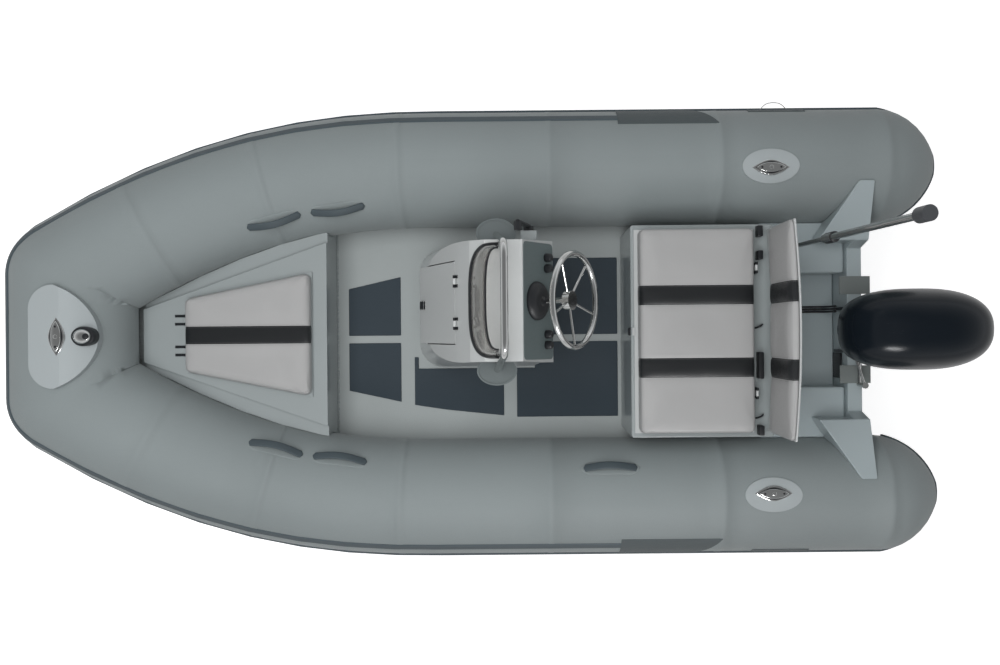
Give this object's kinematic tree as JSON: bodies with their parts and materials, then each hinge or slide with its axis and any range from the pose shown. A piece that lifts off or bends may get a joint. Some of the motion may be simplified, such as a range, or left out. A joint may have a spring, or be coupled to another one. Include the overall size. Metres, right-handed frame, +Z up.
{
  "type": "inflatable rib boat",
  "caption": "Rigid inflatable tender with round collar, centre console, bench seat with backrest, bow locker and tilting outboard.",
  "frame": {"origin": "on the waterline, on the centreline, amidships of the collar", "axes": "+X to the bow, +Y to port, +Z up"},
  "size_m": [3.9318, 1.92, 2.0841],
  "materials": {
    "tube_fabric": "coated fabric, matte, fine weave",
    "strake_rubber": "moulded rubber, ribbed",
    "patch_fabric": "coated fabric, darker",
    "gelcoat": "glossy gelcoat over glass laminate",
    "hull_gelcoat": "glossy gelcoat over glass laminate",
    "deck_gelcoat": "satin moulded deck",
    "deck_pad": "soft non-slip foam sheet",
    "cushion_vinyl": "marine vinyl with dark stripes",
    "step_plastic": "moulded plastic",
    "stainless": "polished stainless steel",
    "black_plastic": "moulded plastic",
    "smoked_glass": "smoked acrylic",
    "wheel_steel": "polished stainless steel",
    "cowl_paint": "gloss near-black paint",
    "leg_paint": "gloss near-black paint",
    "bracket_paint": "satin near-black paint",
    "engine_block": "cast block",
    "aluminium": "cast, painted grey",
    "lamp_lens": "dark lens"
  },
  "bodies": {
    "boat": {"hull": "hull_gelcoat", "deck_floor": "deck_gelcoat", "floor_pads": "deck_pad", "bow_locker": "gelcoat", "bow_hinges": "stainless", "transom": "gelcoat", "engine_pad_port": "aluminium", "engine_pad_starboard": "aluminium", "aft_deck": "deck_gelcoat", "collar": "tube_fabric", "rub_strake": "strake_rubber", "upper_strake": "strake_rubber", "side_panels": "patch_fabric", "chafe_patches": "patch_fabric", "grab_handles": "strake_rubber", "bow_step": "step_plastic", "bow_cleat": "stainless", "bow_light": "stainless", "stern_cleat_pads": "step_plastic", "stern_cleats": "stainless", "console_shell": "gelcoat", "hatch_hinges": "stainless", "windshield": "smoked_glass", "console_rail": "stainless", "rail_trays": "gelcoat", "dash_controls": "black_plastic", "throttle_box": "black_plastic", "throttle_lever": "black_plastic", "seat_box": "gelcoat", "seat_hinges": "black_plastic", "backrest_panel": "gelcoat", "back_cushion": "cushion_vinyl", "pole_base": "black_plastic", "light_pole": "aluminium", "pole_light": "lamp_lens", "clamp_bracket": "bracket_paint", "bow_eye": "stainless", "stern_eyes": "stainless"},
    "seat_lid": {"seat_lid": "gelcoat", "seat_cushion": "cushion_vinyl"},
    "bow_lid": {"bow_lid": "gelcoat", "bow_cushion": "cushion_vinyl"},
    "console_hatch": {"console_hatch": "gelcoat"},
    "helm": {"helm_wheel": "wheel_steel"},
    "tilt": {"swivel_bracket": "bracket_paint"},
    "link": {"steering_link": "stainless"},
    "outboard": {"outboard_leg": "leg_paint", "outboard_pan": "cowl_paint", "outboard_cowl": "cowl_paint", "powerhead": "engine_block"},
    "propeller": {"propeller": "bracket_paint"}
  },
  "joints": [
    {"name": "seat_lid_hinge", "type": "hinge", "parent": "boat", "child": "seat_lid", "pos_m": [-1.09, 0, 0.6], "axis": [0, -1, 0], "range_deg": [0, 70]},
    {"name": "bow_lid_hinge", "type": "hinge", "parent": "boat", "child": "bow_lid", "pos_m": [1.2653, 0, 0.3763], "axis": [0, 1, 0], "range_deg": [0, 85]},
    {"name": "console_hatch_hinge", "type": "hinge", "parent": "boat", "child": "console_hatch", "pos_m": [0.0882, -0.112, 0.88676], "axis": [0, -1, 0], "range_deg": [0, 90]},
    {"name": "helm_turn", "type": "hinge", "parent": "boat", "child": "helm", "pos_m": [-0.34605, -0.112, 1.02797], "axis": [-0.8674, 0, 0.4976], "range_deg": [-540, 540]},
    {"name": "engine_tilt", "type": "hinge", "parent": "boat", "child": "tilt", "pos_m": [-1.572, 0, 0.385], "axis": [0, 1, 0], "range_deg": [0, 60]},
    {"name": "engine_steer", "type": "hinge", "parent": "tilt", "child": "outboard", "pos_m": [-1.68, 0, 0.2], "axis": [0, 0, 1], "range_deg": [-32, 32]},
    {"name": "steering_rod", "type": "slide", "parent": "tilt", "child": "link", "axis": [0, 1, 0], "range_m": [-0.099, 0.099]},
    {"name": "propeller_spin", "type": "hinge", "parent": "outboard", "child": "propeller", "pos_m": [-1.8895, 0, -0.365], "axis": [1, 0, 0], "continuous": true}
  ],
  "couplings": [
    {"joint": "helm_turn", "follows": "engine_steer", "ratio": -16.87},
    {"joint": "steering_rod", "follows": "engine_steer", "m_per_rad": 0.177}
  ]
}
